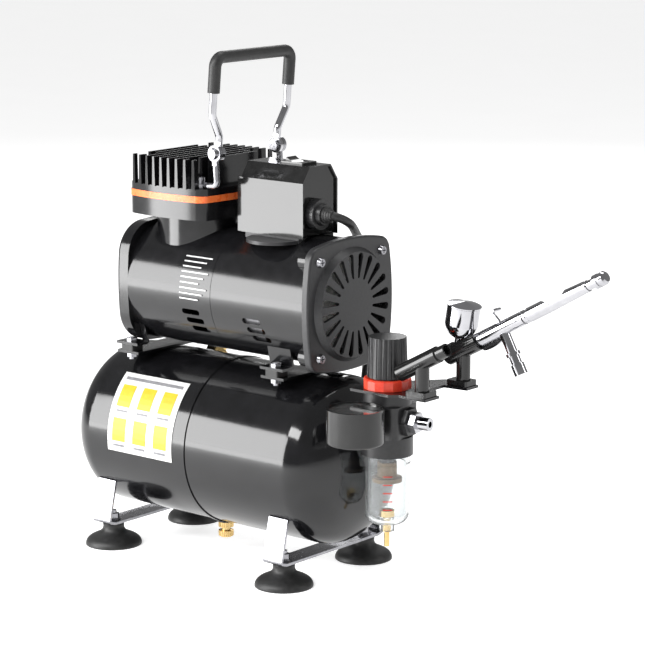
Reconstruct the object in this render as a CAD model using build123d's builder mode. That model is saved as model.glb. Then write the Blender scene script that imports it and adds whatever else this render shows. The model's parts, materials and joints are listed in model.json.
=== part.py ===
from build123d import *
import math
import os

# Airbrush compressor: an oil-less piston compressor on a 3 litre tank, with a
# filter regulator, an airbrush holder and a double-action airbrush.
# Millimetres. The origin is on the floor, between the four suction feet. +X runs
# along the tank to the regulator end, +Y to the back and +Z up.

# ---- driving dimensions ----
TANK_R = 64.0
TANK_X = 2.0
TANK_Z = 89.5
TANK_HALF = 97.4
TANK_DOME = 37.2
TANK_WALL = 2.0
FOOT_X = 88.0
FOOT_Y = 47.0
FOOT_R = 22.0
LEG_WIDTH = 18.0
LEG_THICK = 2.0
STRIP_Z = 17.5
MOTOR_R = 48.0
MOTOR_Z = 208.65
MOTOR_WALL = 2.5
MOTOR_X0 = -68.0
MOTOR_SEAM = 17.0
MOTOR_X1 = 104.0
MOTOR_END = 107.7
COVER_T = 5.7
END_BELL_T = 12.0
SCREW_HALF = 35.55
MOUNT_X = 73.5
MOUNT_Y = 38.0
MOUNT_Z = 153.5
HEAD_X = -32.5
HEAD_HALF_X = 38.0
HEAD_HALF_Y = 42.0
NECK_R = 35.2
BORE_R = 20.0
CRANK_THROW = 8.0
FLANGE_Z = 264.0
PLATE_Z = 277.5
HEAD_Z = 282.5
FIN_Z = 287.7
FIN_TOP = 309.5
FIN_PITCH = 7.6
FIN_T = 2.2
HANDLE_X = 13.0
HANDLE_Z = 315.0
HANDLE_LEAN = 5.0
HANDLE_Y = 42.0
BAR_R = 72.0
BOX_X0 = 24.0
BOX_X1 = 84.0
BOX_Y = 20.0
BOX_Z1 = 297.0
BOX_TOP = 308.5
ROCKER_X = 63.0
ROCKER_TILT = 10.0
CORD_R = 3.25
GLAND_Y = -4.5
GLAND_Z = 273.2
GLAND_OUT = 9.0
REG_X = 156.5
REG_Y = -11.0
REG_YAW = 6.5
REG_PORT_Z = 131.0
HOLD_Z = 152.0
GAUGE_OUT = 43.3
BRUSH_PITCH = 28.5
BRUSH_Y = 31.0
FREE_TUBE_Y = -18.0
CUP_LEAN = 38.0
RUN_FIT = 0.04
GAP = 0.3


def plane_at(x, y, z, x_dir, normal):
    return Plane(origin=(x, y, z), x_dir=x_dir, z_dir=normal)


def across(x):
    """Plane normal to X at x: local x is world Y and local y is world Z."""
    return plane_at(x, 0, 0, (0, 1, 0), (1, 0, 0))


def side_on(y):
    """Plane facing the front at y: local x is world X and local y is world Z."""
    return plane_at(0, y, 0, (1, 0, 0), (0, -1, 0))


def bowed_square(half_x, half_y, bulge_x, bulge_y, corner):
    """A square with slightly bowed sides and round corners, centred on its plane."""
    with BuildSketch(Plane.XY) as outline:
        with BuildLine():
            ThreePointArc((half_x, -half_y), (half_x + bulge_x, 0), (half_x, half_y))
            ThreePointArc((half_x, half_y), (0, half_y + bulge_y), (-half_x, half_y))
            ThreePointArc((-half_x, half_y), (-half_x - bulge_x, 0), (-half_x, -half_y))
            ThreePointArc((-half_x, -half_y), (0, -half_y - bulge_y), (half_x, -half_y))
        make_face()
        fillet(outline.vertices(), corner)
    return outline.sketch


def save(name, part):
    part.label = name
    export_step(part, "parts/" + name + ".step")


os.makedirs("parts", exist_ok=True)

TANK_AXIS = Axis((0, 0, TANK_Z), (1, 0, 0))
FRONT = side_on(0)
FEET = [(sx * FOOT_X, sy * FOOT_Y) for sx in (-1, 1) for sy in (-1, 1)]
MOUNTS = [(sx * MOUNT_X, sy * MOUNT_Y) for sx in (-1, 1) for sy in (-1, 1)]

# ================= tank =================
SEAM_X = 4.0
JOGGLE = 9.0
# where the regulator's inlet pipe meets the dome, and the wall's slope there
PORT_Y = REG_Y - 3.3
PORT_Z = REG_PORT_Z
DOME_SHARE = math.hypot(PORT_Y, PORT_Z - TANK_Z) / TANK_R
PORT_DEPTH = TANK_DOME * math.sqrt(1.0 - DOME_SHARE ** 2)
PORT_WALL = Plane(
    origin=(TANK_X + TANK_HALF + PORT_DEPTH, PORT_Y, PORT_Z),
    z_dir=(PORT_DEPTH / TANK_DOME ** 2, PORT_Y / TANK_R ** 2, (PORT_Z - TANK_Z) / TANK_R ** 2),
)
DRAIN_X = -11.7
HOSE_TANK_X = -60.0
HOSE_TILT = math.radians(40)
PORT_DIR = (0, math.sin(HOSE_TILT), math.cos(HOSE_TILT))
TANK_PORT = plane_at(HOSE_TANK_X, 0, TANK_Z, (1, 0, 0), PORT_DIR)


RIM_R = TANK_R - TANK_WALL


def dome_section(reach, seam_points):
    """Half section of a tank shell: local x runs out from the tank's middle to the dome."""
    with BuildLine() as outline:
        Line((reach - TANK_HALF, TANK_Z + TANK_R), (TANK_HALF, TANK_Z + TANK_R))
        EllipticalCenterArc((TANK_HALF, TANK_Z), TANK_DOME, TANK_R, 0, arc_size=90)
        Line((TANK_HALF + TANK_DOME, TANK_Z), (TANK_HALF + TANK_DOME - TANK_WALL, TANK_Z))
        EllipticalCenterArc((TANK_HALF, TANK_Z), TANK_DOME - TANK_WALL, RIM_R, 0, arc_size=90)
        Polyline((TANK_HALF, TANK_Z + RIM_R), *seam_points, (reach - TANK_HALF, TANK_Z + TANK_R))
    return outline


SEAM = SEAM_X - TANK_X
LEFT_PLANE = plane_at(TANK_X, 0, 0, (-1, 0, 0), (0, 1, 0))
RIGHT_PLANE = plane_at(TANK_X, 0, 0, (1, 0, 0), (0, -1, 0))
BEAD = 0.8
DRAIN_TOP = TANK_Z - TANK_R - 0.6
with BuildPart() as tank_shell_left:
    with BuildSketch(LEFT_PLANE):
        with BuildLine():
            add(dome_section(TANK_HALF - SEAM + 3.0, [
                (-SEAM, TANK_Z + RIM_R), (-SEAM, TANK_Z + TANK_R + BEAD),
                (-SEAM + 3.0, TANK_Z + TANK_R + BEAD),
            ]).line)
        make_face()
    revolve(axis=TANK_AXIS)
    with BuildSketch(Plane.XY.offset(DRAIN_TOP)):
        with Locations((DRAIN_X, 0)):
            RegularPolygon(7.5, 6, major_radius=False)
    extrude(amount=-3.0)
    with BuildSketch(Plane.XY.offset(DRAIN_TOP)):
        with Locations((DRAIN_X, 0)):
            Circle(3.9)
    extrude(amount=4.0)
    with BuildSketch(Plane.XY.offset(DRAIN_TOP - 3.0)):
        with Locations((DRAIN_X, 0)):
            Circle(2.0)
    extrude(amount=20.0, mode=Mode.SUBTRACT)
    with BuildSketch(TANK_PORT.offset(TANK_R - 10.0)):
        Circle(4.0)
    extrude(amount=20.0, mode=Mode.SUBTRACT)
save("tank_shell_left", tank_shell_left.part)

with BuildSketch(RIGHT_PLANE) as right_wall:
    with BuildLine():
        add(dome_section(TANK_HALF + SEAM, [
            (SEAM + 4.0, TANK_Z + RIM_R), (SEAM + 4.0, TANK_Z + RIM_R - 1.8),
            (SEAM - JOGGLE, TANK_Z + RIM_R - 1.8), (SEAM - JOGGLE, TANK_Z + RIM_R - 0.02),
            (SEAM, TANK_Z + RIM_R - 0.02),
        ]).line)
    make_face()
save("tank_shell_right", revolve(right_wall.sketch, axis=TANK_AXIS))

DRAIN_TOP = TANK_Z - TANK_R - 0.4
COCK_TOP = DRAIN_TOP - 3.0 - GAP
with BuildPart() as drain_cock:
    with BuildSketch(FRONT):
        with BuildLine():
            Polyline(
                (DRAIN_X, COCK_TOP + 3.5), (DRAIN_X + 2.0 - RUN_FIT, COCK_TOP + 3.5),
                (DRAIN_X + 2.0 - RUN_FIT, COCK_TOP), (DRAIN_X + 6.0, COCK_TOP),
                (DRAIN_X + 6.0, COCK_TOP - 4.6), (DRAIN_X + 3.4, COCK_TOP - 4.9),
                (DRAIN_X + 3.4, COCK_TOP - 7.2), (DRAIN_X + 6.0, COCK_TOP - 7.5),
                (DRAIN_X + 6.0, COCK_TOP - 11.6), (DRAIN_X + 4.6, COCK_TOP - 12.6),
                (DRAIN_X, COCK_TOP - 12.6), close=True,
            )
        make_face()
    revolve(axis=Axis((DRAIN_X, 0, 0), (0, 0, 1)))
    with BuildSketch(Plane.XY.offset(COCK_TOP)):
        with Locations((DRAIN_X, 0)):
            with PolarLocations(6.0, 24):
                Circle(0.32)
    extrude(amount=-12, mode=Mode.SUBTRACT)
save("drain_cock", drain_cock.part)

# ================= legs and suction feet =================
ARM_OUT = 61.0
ARM_TOP_Y = 52.4
ARM_TOP_Z = TANK_Z - math.sqrt(TANK_R**2 - ARM_TOP_Y**2)


with BuildPart() as legs:
    for x in (-FOOT_X, FOOT_X):
        with BuildSketch(across(x - LEG_WIDTH / 2)):
            with BuildLine():
                centre = FilletPolyline(
                    (-ARM_TOP_Y - 1.0, ARM_TOP_Z), (-ARM_OUT, STRIP_Z + LEG_THICK),
                    (-ARM_OUT + 7.0, STRIP_Z), (ARM_OUT - 7.0, STRIP_Z),
                    (ARM_OUT, STRIP_Z + LEG_THICK), (ARM_TOP_Y + 1.0, ARM_TOP_Z),
                    radius=2.5,
                )
                offset(centre, amount=LEG_THICK, side=Side.LEFT)
            make_face()
        extrude(amount=LEG_WIDTH)
    with BuildSketch(Plane.XY.offset(STRIP_Z - 5.0)):
        with Locations(*FEET):
            Circle(2.6)
    extrude(amount=12.0, mode=Mode.SUBTRACT)
    with BuildSketch(across(-120)):
        with Locations((0, TANK_Z)):
            Circle(TANK_R)
    extrude(amount=240, mode=Mode.SUBTRACT)
save("legs", legs.part)

CUP_SOLE_R = FOOT_R
with BuildPart() as suction_cups:
    for fx, fy in FEET:
        with BuildSketch(side_on(fy)):
            with BuildLine():
                Polyline((fx, 10.0), (fx, 7.0), (fx + 9.0, 6.2), (fx + 18.0, 2.6),
                    (fx + CUP_SOLE_R - 0.8, 0),
                         (fx + CUP_SOLE_R, 0), (fx + CUP_SOLE_R, 1.2))
                Spline((fx + CUP_SOLE_R, 1.2), (fx + 15.5, 7.6), (fx + 9.2, 11.4), (fx + 8.4, 16.2))
                Polyline((fx + 8.4, 16.2), (fx + 7.6, STRIP_Z - 0.0), (fx + 2.5, STRIP_Z), (fx + 2.5, 10.0),
                         (fx, 10.0))
            make_face()
        revolve(axis=Axis((fx, fy, 0), (0, 0, 1)))
save("suction_cups", suction_cups.part)

# ================= motor mounts =================
PLATE_W = 22.0
BLOCK_T = 5.0
with BuildPart() as mount_plates:
    with BuildSketch(Plane.XY.offset(MOUNT_Z)):
        for sx in (-1, 1):
            with Locations((sx * MOUNT_X, 0)):
                Rectangle(PLATE_W, 86.0)
        with Locations(*MOUNTS):
            Circle(2.6, mode=Mode.SUBTRACT)
    extrude(amount=2.0)
save("mount_plates", mount_plates.part)

with BuildPart() as rubber_mounts:
    with BuildSketch(Plane.XY.offset(MOUNT_Z + 2.0)):
        for mx, my in MOUNTS:
            with Locations((mx, my)):
                RectangleRounded(12.0, 12.0, 1.0)
        with Locations(*MOUNTS):
            Circle(2.6, mode=Mode.SUBTRACT)
    extrude(amount=BLOCK_T)
save("rubber_mounts", rubber_mounts.part)

FOOT_BASE_Z = MOUNT_Z + 2.0 + BLOCK_T
FOOT_TOP_Y = 33.5
FOOT_TOP_Z = MOTOR_Z - math.sqrt(MOTOR_R**2 - FOOT_TOP_Y**2)
with BuildPart() as motor_feet:
    for sx in (-1, 1):
        for sy in (-1, 1):
            with BuildSketch(across(sx * MOUNT_X - 11.0)):
                with BuildLine():
                    bend = FilletPolyline(
                        (sy * 44.0, FOOT_BASE_Z), (sy * 30.0, FOOT_BASE_Z),
                        (sy * FOOT_TOP_Y, FOOT_TOP_Z + 2.5),
                        radius=2.2,
                    )
                    offset(bend, amount=2.0, side=Side.RIGHT if sy > 0 else Side.LEFT)
                make_face()
            extrude(amount=22.0)
    with BuildSketch(across(-120)):
        with Locations((0, MOTOR_Z)):
            Circle(MOTOR_R)
    extrude(amount=240, mode=Mode.SUBTRACT)
    with BuildSketch(Plane.XY.offset(FOOT_BASE_Z - 1)):
        with Locations(*MOUNTS):
            Circle(2.6)
    extrude(amount=4.0, mode=Mode.SUBTRACT)
    # the left uprights stop beside the end bell
    with BuildSketch(Plane.XY.offset(FOOT_BASE_Z + 2.5)):
        with Locations((MOTOR_X0 - 15.0, 0)):
            Rectangle(30.6, 110.0)
    extrude(amount=30.0, mode=Mode.SUBTRACT)
save("motor_feet", motor_feet.part)

with BuildPart() as frame_bolts:
    for fx, fy in FEET:
        with BuildSketch(Plane.XY.offset(10.0)):
            with Locations((fx, fy)):
                Circle(2.5)
        extrude(amount=17.0)
        with BuildSketch(Plane.XY.offset(STRIP_Z + LEG_THICK)):
            with Locations((fx, fy)):
                Circle(5.5)
        extrude(amount=1.0)
        with BuildSketch(Plane.XY.offset(STRIP_Z + LEG_THICK + 1.0)):
            with Locations((fx, fy)):
                RegularPolygon(4.0, 6, major_radius=False)
        extrude(amount=4.0)
    for mx, my in MOUNTS:
        with BuildSketch(Plane.XY.offset(MOUNT_Z - 5.0)):
            with Locations((mx, my)):
                Circle(2.5)
        extrude(amount=17.0)
        with BuildSketch(Plane.XY.offset(MOUNT_Z)):
            with Locations((mx, my)):
                RegularPolygon(3.6, 6, major_radius=False)
        extrude(amount=-3.2)
        with BuildSketch(Plane.XY.offset(FOOT_BASE_Z + 2.0)):
            with Locations((mx, my)):
                RegularPolygon(3.6, 6, major_radius=False)
        extrude(amount=2.4)
save("frame_bolts", frame_bolts.part)

# ================= motor =================
SLOT_Z = (195.0, 188.2, 181.6)
VENTS = ((-13.5, SLOT_Z), (47.0, SLOT_Z))


def motor_tube(x0, x1, wall):
    with BuildPart() as tube:
        with BuildSketch(across(x0)):
            with Locations((0, MOTOR_Z)):
                Circle(MOTOR_R)
                Circle(MOTOR_R - wall, mode=Mode.SUBTRACT)
        extrude(amount=x1 - x0)
        for start, rows in VENTS:
            for row, z in enumerate(rows):
                with BuildSketch(side_on(0)):
                    with Locations((start + 9.0 + 2.6 * row, z)):
                        SlotOverall(17.5, 4.2)
                extrude(amount=MOTOR_R + 5, both=True, mode=Mode.SUBTRACT)
    return tube.part


SHAFT_R = 6.0
BEARING_R = 14.0
BEARINGS = ((3.5, 12.5), (84.0, 92.0))
with BuildPart() as motor_shell_left:
    add(motor_tube(MOTOR_X0, MOTOR_SEAM - 0.2, MOTOR_WALL))
    # wall that holds the front bearing
    with BuildSketch(across(BEARINGS[0][0] + 2.0)):
        with Locations((0, MOTOR_Z)):
            Circle(MOTOR_R - 1.0)
            Circle(BEARING_R, mode=Mode.SUBTRACT)
            with PolarLocations(30.0, 6):
                Circle(6.0, mode=Mode.SUBTRACT)
    extrude(amount=4.0)
    with BuildSketch(across(BEARINGS[0][0])):
        with Locations((0, MOTOR_Z)):
            Circle(BEARING_R + 4.0)
            Circle(BEARING_R, mode=Mode.SUBTRACT)
    extrude(amount=BEARINGS[0][1] - BEARINGS[0][0])
    with BuildSketch(Plane.XY.offset(MOTOR_Z)):
        with Locations((HEAD_X, 0)):
            Circle(NECK_R)
    extrude(amount=MOTOR_R + 5, mode=Mode.SUBTRACT)
save("motor_shell_left", motor_shell_left.part)

with BuildPart() as motor_shell_right:
    add(motor_tube(MOTOR_SEAM + 0.2, MOTOR_X1, MOTOR_WALL))
save("motor_shell_right", motor_shell_right.part)

with BuildPart() as crankcase_end_bell:
    with BuildSketch(across(MOTOR_X0)):
        with Locations((0, MOTOR_Z)):
            add(bowed_square(44.0, 44.0, 3.6, 3.6, 26.0))
    extrude(amount=-END_BELL_T)
    fillet(crankcase_end_bell.faces().sort_by(Axis.X)[0].edges(), 3.0)
    with BuildSketch(across(MOTOR_X0)):
        with Locations((0, MOTOR_Z)):
            Circle(MOTOR_R - MOTOR_WALL - 3.0)
    extrude(amount=-8.0, mode=Mode.SUBTRACT)
    with BuildSketch(across(MOTOR_X0 - END_BELL_T)):
        with Locations((0, MOTOR_Z)):
            with GridLocations(2 * SCREW_HALF - 4, 2 * SCREW_HALF - 4, 2, 2):
                Circle(2.1)
    extrude(amount=7.0, mode=Mode.SUBTRACT)
save("crankcase_end_bell", crankcase_end_bell.part)

with BuildPart() as motor_bearings:
    for b0, b1 in BEARINGS:
        with BuildSketch(across(b0)):
            with Locations((0, MOTOR_Z)):
                Circle(BEARING_R)
                Circle(SHAFT_R + RUN_FIT, mode=Mode.SUBTRACT)
        extrude(amount=b1 - b0)
save("motor_bearings", motor_bearings.part)

STATOR_X0 = 26.0
STATOR_X1 = 62.0
ROTOR_R = 24.0
with BuildPart() as stator_core:
    with BuildSketch(across(STATOR_X0)):
        with Locations((0, MOTOR_Z)):
            Circle(MOTOR_R - MOTOR_WALL)
            Circle(ROTOR_R + 0.4, mode=Mode.SUBTRACT)
            with PolarLocations(33.0, 12):
                Circle(3.4, mode=Mode.SUBTRACT)
    extrude(amount=STATOR_X1 - STATOR_X0)
save("stator_core", stator_core.part)

with BuildPart() as stator_windings:
    for x0, x1 in ((STATOR_X0 - 11.0, STATOR_X0), (STATOR_X1, STATOR_X1 + 11.0)):
        with BuildSketch(across(x0)):
            with Locations((0, MOTOR_Z)):
                Circle(40.0)
                Circle(27.0, mode=Mode.SUBTRACT)
        extrude(amount=x1 - x0)
        rims = stator_windings.edges().filter_by(GeomType.CIRCLE).group_by(Axis.X)
        fillet(rims[0 if x0 < 30 else -1], 3.0)
    with BuildSketch(across(STATOR_X0)):
        with Locations((0, MOTOR_Z)):
            with PolarLocations(33.0, 12):
                Circle(3.4)
    extrude(amount=STATOR_X1 - STATOR_X0)
save("stator_windings", stator_windings.part)

with BuildPart() as rotor_core:
    with BuildSketch(across(STATOR_X0)):
        with Locations((0, MOTOR_Z)):
            Circle(ROTOR_R)
            Circle(SHAFT_R, mode=Mode.SUBTRACT)
    extrude(amount=STATOR_X1 - STATOR_X0)
save("rotor_core", rotor_core.part)

CRANK_X = -26.0
FAN_X = 95.5
with BuildPart() as cooling_fan:
    with BuildSketch(across(FAN_X)):
        with Locations((0, MOTOR_Z)):
            Circle(13.0)
            Circle(SHAFT_R, mode=Mode.SUBTRACT)
    extrude(amount=8.0)
    with BuildSketch(across(FAN_X)):
        with Locations((0, MOTOR_Z)):
            Circle(36.0)
            Circle(12.0, mode=Mode.SUBTRACT)
    extrude(amount=1.2)
    with BuildSketch(across(FAN_X)):
        with Locations((0, MOTOR_Z)):
            with PolarLocations(24.0, 9):
                Rectangle(23.0, 1.6)
    extrude(amount=8.0)
save("cooling_fan", cooling_fan.part)

# The crank pin stops short of the rod's plane, where the linkage is opened.
WEB_R = 24.0
WEB_A = math.radians(20)
with BuildPart() as crankshaft:
    with BuildSketch(across(CRANK_X)):
        with BuildLine():
            CenterArc((0, MOTOR_Z), WEB_R, 200, 140)
            Polyline(
                (WEB_R * math.cos(WEB_A), MOTOR_Z - WEB_R * math.sin(WEB_A)), (10.0, MOTOR_Z + 9.0),
                (-10.0, MOTOR_Z + 9.0), (-WEB_R * math.cos(WEB_A), MOTOR_Z - WEB_R * math.sin(WEB_A)),
            )
        make_face()
    extrude(amount=14.0)
    with BuildSketch(across(CRANK_X + 6.0)):
        with Locations((0, MOTOR_Z)):
            Circle(SHAFT_R)
    extrude(amount=FAN_X + 9.0 - CRANK_X - 6.0)
    with BuildSketch(across(CRANK_X - 1.5)):
        with Locations((0, MOTOR_Z + CRANK_THROW)):
            Circle(3.0)
    extrude(amount=3.0)
    with BuildSketch(across(CRANK_X)):
        with Locations((0, MOTOR_Z + CRANK_THROW)):
            Circle(5.0)
    extrude(amount=8.0)
save("crankshaft", crankshaft.part)

# piston at mid stroke; rod and piston are one casting with a cup seal on top
ROD_X = HEAD_X
PISTON_TOP = PLATE_Z - 1.5 - CRANK_THROW
BIG_END_Z = MOTOR_Z
with BuildPart() as piston_and_rod:
    with BuildSketch(across(ROD_X - 4.5)):
        with Locations((0, BIG_END_Z)):
            Circle(13.0)
        with Locations((0, (BIG_END_Z + PISTON_TOP) / 2)):
            Rectangle(10.0, PISTON_TOP - BIG_END_Z - 8.0)
        with Locations((0, BIG_END_Z)):
            Circle(9.0, mode=Mode.SUBTRACT)
    extrude(amount=9.0 - 4.5)
    with BuildSketch(Plane.XY.offset(PISTON_TOP - 8.0)):
        with Locations((ROD_X, 0)):
            Circle(BORE_R - 1.2)
    extrude(amount=5.0)
    with BuildSketch(Plane.XY.offset(PISTON_TOP - 3.0)):
        with Locations((ROD_X, 0)):
            Circle(BORE_R - RUN_FIT)
    extrude(amount=3.0)
save("piston_and_rod", piston_and_rod.part)


# ================= cylinder and head =================
def head_outline(grow_x, grow_y):
    return bowed_square(HEAD_HALF_X + grow_x, HEAD_HALF_Y + grow_y, 2.8, 4.4, 9.0)


def head_slab(z0, z1, grow, bore):
    with BuildPart() as slab:
        with BuildSketch(Plane.XY.offset(z0)):
            with Locations((HEAD_X, 0)):
                add(head_outline(grow, grow))
                if bore:
                    Circle(bore, mode=Mode.SUBTRACT)
        extrude(amount=z1 - z0)
    return slab.part


BOLT_DX = 27.5
BOLT_DY = 34.0
HEAD_BOLTS = [(HEAD_X + sx * BOLT_DX, sy * BOLT_DY) for sx in (-1, 1) for sy in (-1, 1)]


def bolt_holes(z0, depth):
    with BuildPart() as holes:
        with BuildSketch(Plane.XY.offset(z0)):
            with Locations(*HEAD_BOLTS):
                Circle(2.6)
        extrude(amount=depth)
    return holes.part


with BuildPart() as cylinder:
    with BuildSketch(Plane.XY.offset(MOTOR_Z + 30.0)):
        with Locations((HEAD_X, 0)):
            Circle(NECK_R)
            Circle(BORE_R, mode=Mode.SUBTRACT)
    extrude(amount=FLANGE_Z - MOTOR_Z - 30.0)
    with BuildSketch(across(HEAD_X - 60.0)):
        with Locations((0, MOTOR_Z)):
            Circle(MOTOR_R - MOTOR_WALL - 2.0)
    extrude(amount=120.0, mode=Mode.SUBTRACT)
    add(head_slab(FLANGE_Z, PLATE_Z, 0, BORE_R))
    add(bolt_holes(PLATE_Z - 9.0, 20.0), mode=Mode.SUBTRACT)
save("cylinder", cylinder.part)

with BuildPart() as valve_plate:
    add(head_slab(PLATE_Z, HEAD_Z, 0.4, 0))
    for vx in (-8.0, 8.0):
        with Locations((HEAD_X + vx, 0, PLATE_Z)):
            Cylinder(3.0, 20, mode=Mode.SUBTRACT)
    add(bolt_holes(PLATE_Z - 2, 20.0), mode=Mode.SUBTRACT)
save("valve_plate", valve_plate.part)

with BuildPart() as cylinder_head:
    add(head_slab(HEAD_Z, FIN_Z, 0, 0))
    with BuildSketch(Plane.XY.offset(HEAD_Z)):
        with Locations((HEAD_X, 0)):
            Rectangle(34.0, 20.0)
            Rectangle(1.5, 20.0, mode=Mode.SUBTRACT)
    extrude(amount=3.0, mode=Mode.SUBTRACT)
    for row in range(-4, 5):
        with BuildSketch(side_on(0)):
            with BuildLine():
                x0 = HEAD_X + row * FIN_PITCH
                Polyline(
                    (x0 - FIN_T / 2 - 0.4, FIN_Z - 0.5), (x0 + FIN_T / 2 + 0.4, FIN_Z - 0.5),
                    (x0 + FIN_T / 2 - 0.2, FIN_TOP), (x0 - FIN_T / 2 + 0.2, FIN_TOP), close=True,
                )
            make_face()
        extrude(amount=60.0, both=True)
    for hx, hy in HEAD_BOLTS:
        with BuildSketch(Plane.XY.offset(FIN_Z)):
            with Locations((hx, hy)):
                Circle(7.5)
        extrude(amount=30.0, mode=Mode.SUBTRACT)
    # the fins end on a bowed outline, a little proud of the base at front and back
    with BuildSketch(Plane.XY.offset(FIN_Z - 0.5)):
        with Locations((HEAD_X, 0)):
            Rectangle(130, 130)
            add(head_outline(0, 1.0), mode=Mode.SUBTRACT)
    extrude(amount=30.0, mode=Mode.SUBTRACT)
    add(bolt_holes(HEAD_Z - 2, 20.0), mode=Mode.SUBTRACT)
save("cylinder_head", cylinder_head.part)

BOLT_HEAD_Z = FIN_Z + 3.2

# ================= carrying handle =================
EYE_IN = 31.5
EYE_OUT = 34.5
BRACKET_IN = 34.8
BRACKET_OUT = 37.8


ROD_R = 2.4


with BuildPart() as handle_brackets:
    for sy in (-1, 1):
        y_eye = sy * (BRACKET_IN + BRACKET_OUT) / 2
        z_rod = FIN_Z + ROD_R + 0.1
        rod_start = (HEAD_X + BOLT_DX + 5.3, sy * BOLT_DY, z_rod)
        with BuildLine():
            FilletPolyline(
                rod_start, (HEAD_X + BOLT_DX + 11.0, y_eye, z_rod), (HANDLE_X + 1.5, y_eye, z_rod + 1.0),
                (HANDLE_X, y_eye, HANDLE_Z - 4.0), radius=3.5,
            )
        with BuildSketch(Plane(origin=rod_start, z_dir=(5.7, y_eye - sy * BOLT_DY, 0))):
            Circle(ROD_R)
        sweep()
        with BuildSketch(Plane.XY.offset(FIN_Z)):
            with Locations((HEAD_X + BOLT_DX, sy * BOLT_DY)):
                Circle(5.6)
        extrude(amount=3.2)
        with BuildSketch(side_on(sy * BRACKET_IN)):
            with Locations((HANDLE_X, HANDLE_Z)):
                Circle(6.0)
        extrude(amount=-sy * (BRACKET_OUT - BRACKET_IN))
        for y0, y1 in ((BRACKET_OUT, BRACKET_OUT + 3.0), (BRACKET_IN - 3.0, BRACKET_IN)):
            with BuildSketch(side_on(sy * y0)):
                with Locations((HANDLE_X, HANDLE_Z)):
                    Circle(9.0)
            extrude(amount=-sy * (y1 - y0), mode=Mode.SUBTRACT)
    with BuildSketch(side_on(0)):
        with Locations((HANDLE_X, HANDLE_Z)):
            Circle(2.5)
    extrude(amount=60, both=True, mode=Mode.SUBTRACT)
    with BuildSketch(Plane.XY.offset(FIN_Z - 1)):
        with Locations(*HEAD_BOLTS):
            Circle(2.6)
    extrude(amount=8, mode=Mode.SUBTRACT)
save("handle_brackets", handle_brackets.part)

LEAN = math.radians(HANDLE_LEAN)


def on_handle(y, up):
    """A point of the handle, up from the pivot along its leaning plane."""
    return (HANDLE_X + up * math.sin(LEAN), y, HANDLE_Z + up * math.cos(LEAN))


EYE_MID = (EYE_IN + EYE_OUT) / 2
WIRE_R = 2.9
with BuildPart() as handle_wire:
    with BuildLine() as wire_path:
        FilletPolyline(
            on_handle(-EYE_MID, 3.0), on_handle(-EYE_MID, 13.0), on_handle(-HANDLE_Y, 29.0),
            on_handle(-HANDLE_Y, BAR_R), on_handle(HANDLE_Y, BAR_R), on_handle(HANDLE_Y, 29.0),
            on_handle(EYE_MID, 13.0), on_handle(EYE_MID, 3.0), radius=7.0,
        )
    with BuildSketch(Plane(origin=on_handle(-EYE_MID, 3.0), z_dir=(math.sin(LEAN), 0, math.cos(LEAN)))):
        Circle(WIRE_R)
    sweep()
    for sy in (-1, 1):
        with BuildSketch(side_on(sy * EYE_IN)):
            with Locations((HANDLE_X, HANDLE_Z)):
                Circle(6.0)
        extrude(amount=-sy * (EYE_OUT - EYE_IN))
    # keep the wire's root no thicker than its eye
    for sy in (-1, 1):
        for y0, y1 in ((EYE_OUT, EYE_OUT + 3.0), (EYE_IN - 3.0, EYE_IN)):
            with BuildSketch(side_on(sy * y0)):
                with Locations((HANDLE_X, HANDLE_Z)):
                    Circle(9.0)
            extrude(amount=-sy * (y1 - y0), mode=Mode.SUBTRACT)
    with BuildSketch(side_on(0)):
        with Locations((HANDLE_X, HANDLE_Z)):
            Circle(2.5 + RUN_FIT)
    extrude(amount=60, both=True, mode=Mode.SUBTRACT)
save("handle_wire", handle_wire.part)

GRIP_R = 4.6
GRIP_DOWN = 46.0
with BuildPart() as handle_grip:
    with BuildLine():
        FilletPolyline(
            on_handle(-HANDLE_Y, GRIP_DOWN), on_handle(-HANDLE_Y, BAR_R), on_handle(HANDLE_Y, BAR_R),
            on_handle(HANDLE_Y, GRIP_DOWN), radius=7.0,
        )
    with BuildSketch(Plane(origin=on_handle(-HANDLE_Y, GRIP_DOWN),
                           z_dir=(math.sin(LEAN), 0, math.cos(LEAN)))):
        Circle(GRIP_R)
        Circle(WIRE_R, mode=Mode.SUBTRACT)
    sweep()
save("handle_grip", handle_grip.part)

# ================= switch box =================
with BuildPart() as box_saddle:
    with BuildSketch(Plane.XY.offset(249.0)):
        with Locations(((BOX_X0 + BOX_X1) / 2, 0)):
            Rectangle(BOX_X1 - BOX_X0 - 8.0, 2 * BOX_Y)
    extrude(amount=7.0)
    with BuildSketch(Plane.XY.offset(252.0)):
        with BuildLine():
            Line((36.0, -12.0), (78.0, -12.0))
            ThreePointArc((78.0, -12.0), (57.0, -41.0), (36.0, -12.0))
        make_face()
    extrude(amount=2.5)
    with BuildSketch(across(0)):
        with Locations((0, MOTOR_Z)):
            Circle(MOTOR_R)
    extrude(amount=120.0, mode=Mode.SUBTRACT)
save("box_saddle", box_saddle.part)


def box_section(inset, foot):
    Polyline(
        (-BOX_Y + inset, foot), (-BOX_Y + inset, BOX_Z1), (-12.0 + inset * 0.5, BOX_TOP - inset),
        (12.0 - inset * 0.5, BOX_TOP - inset), (BOX_Y - inset, BOX_Z1), (BOX_Y - inset, foot), close=True,
    )


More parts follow.
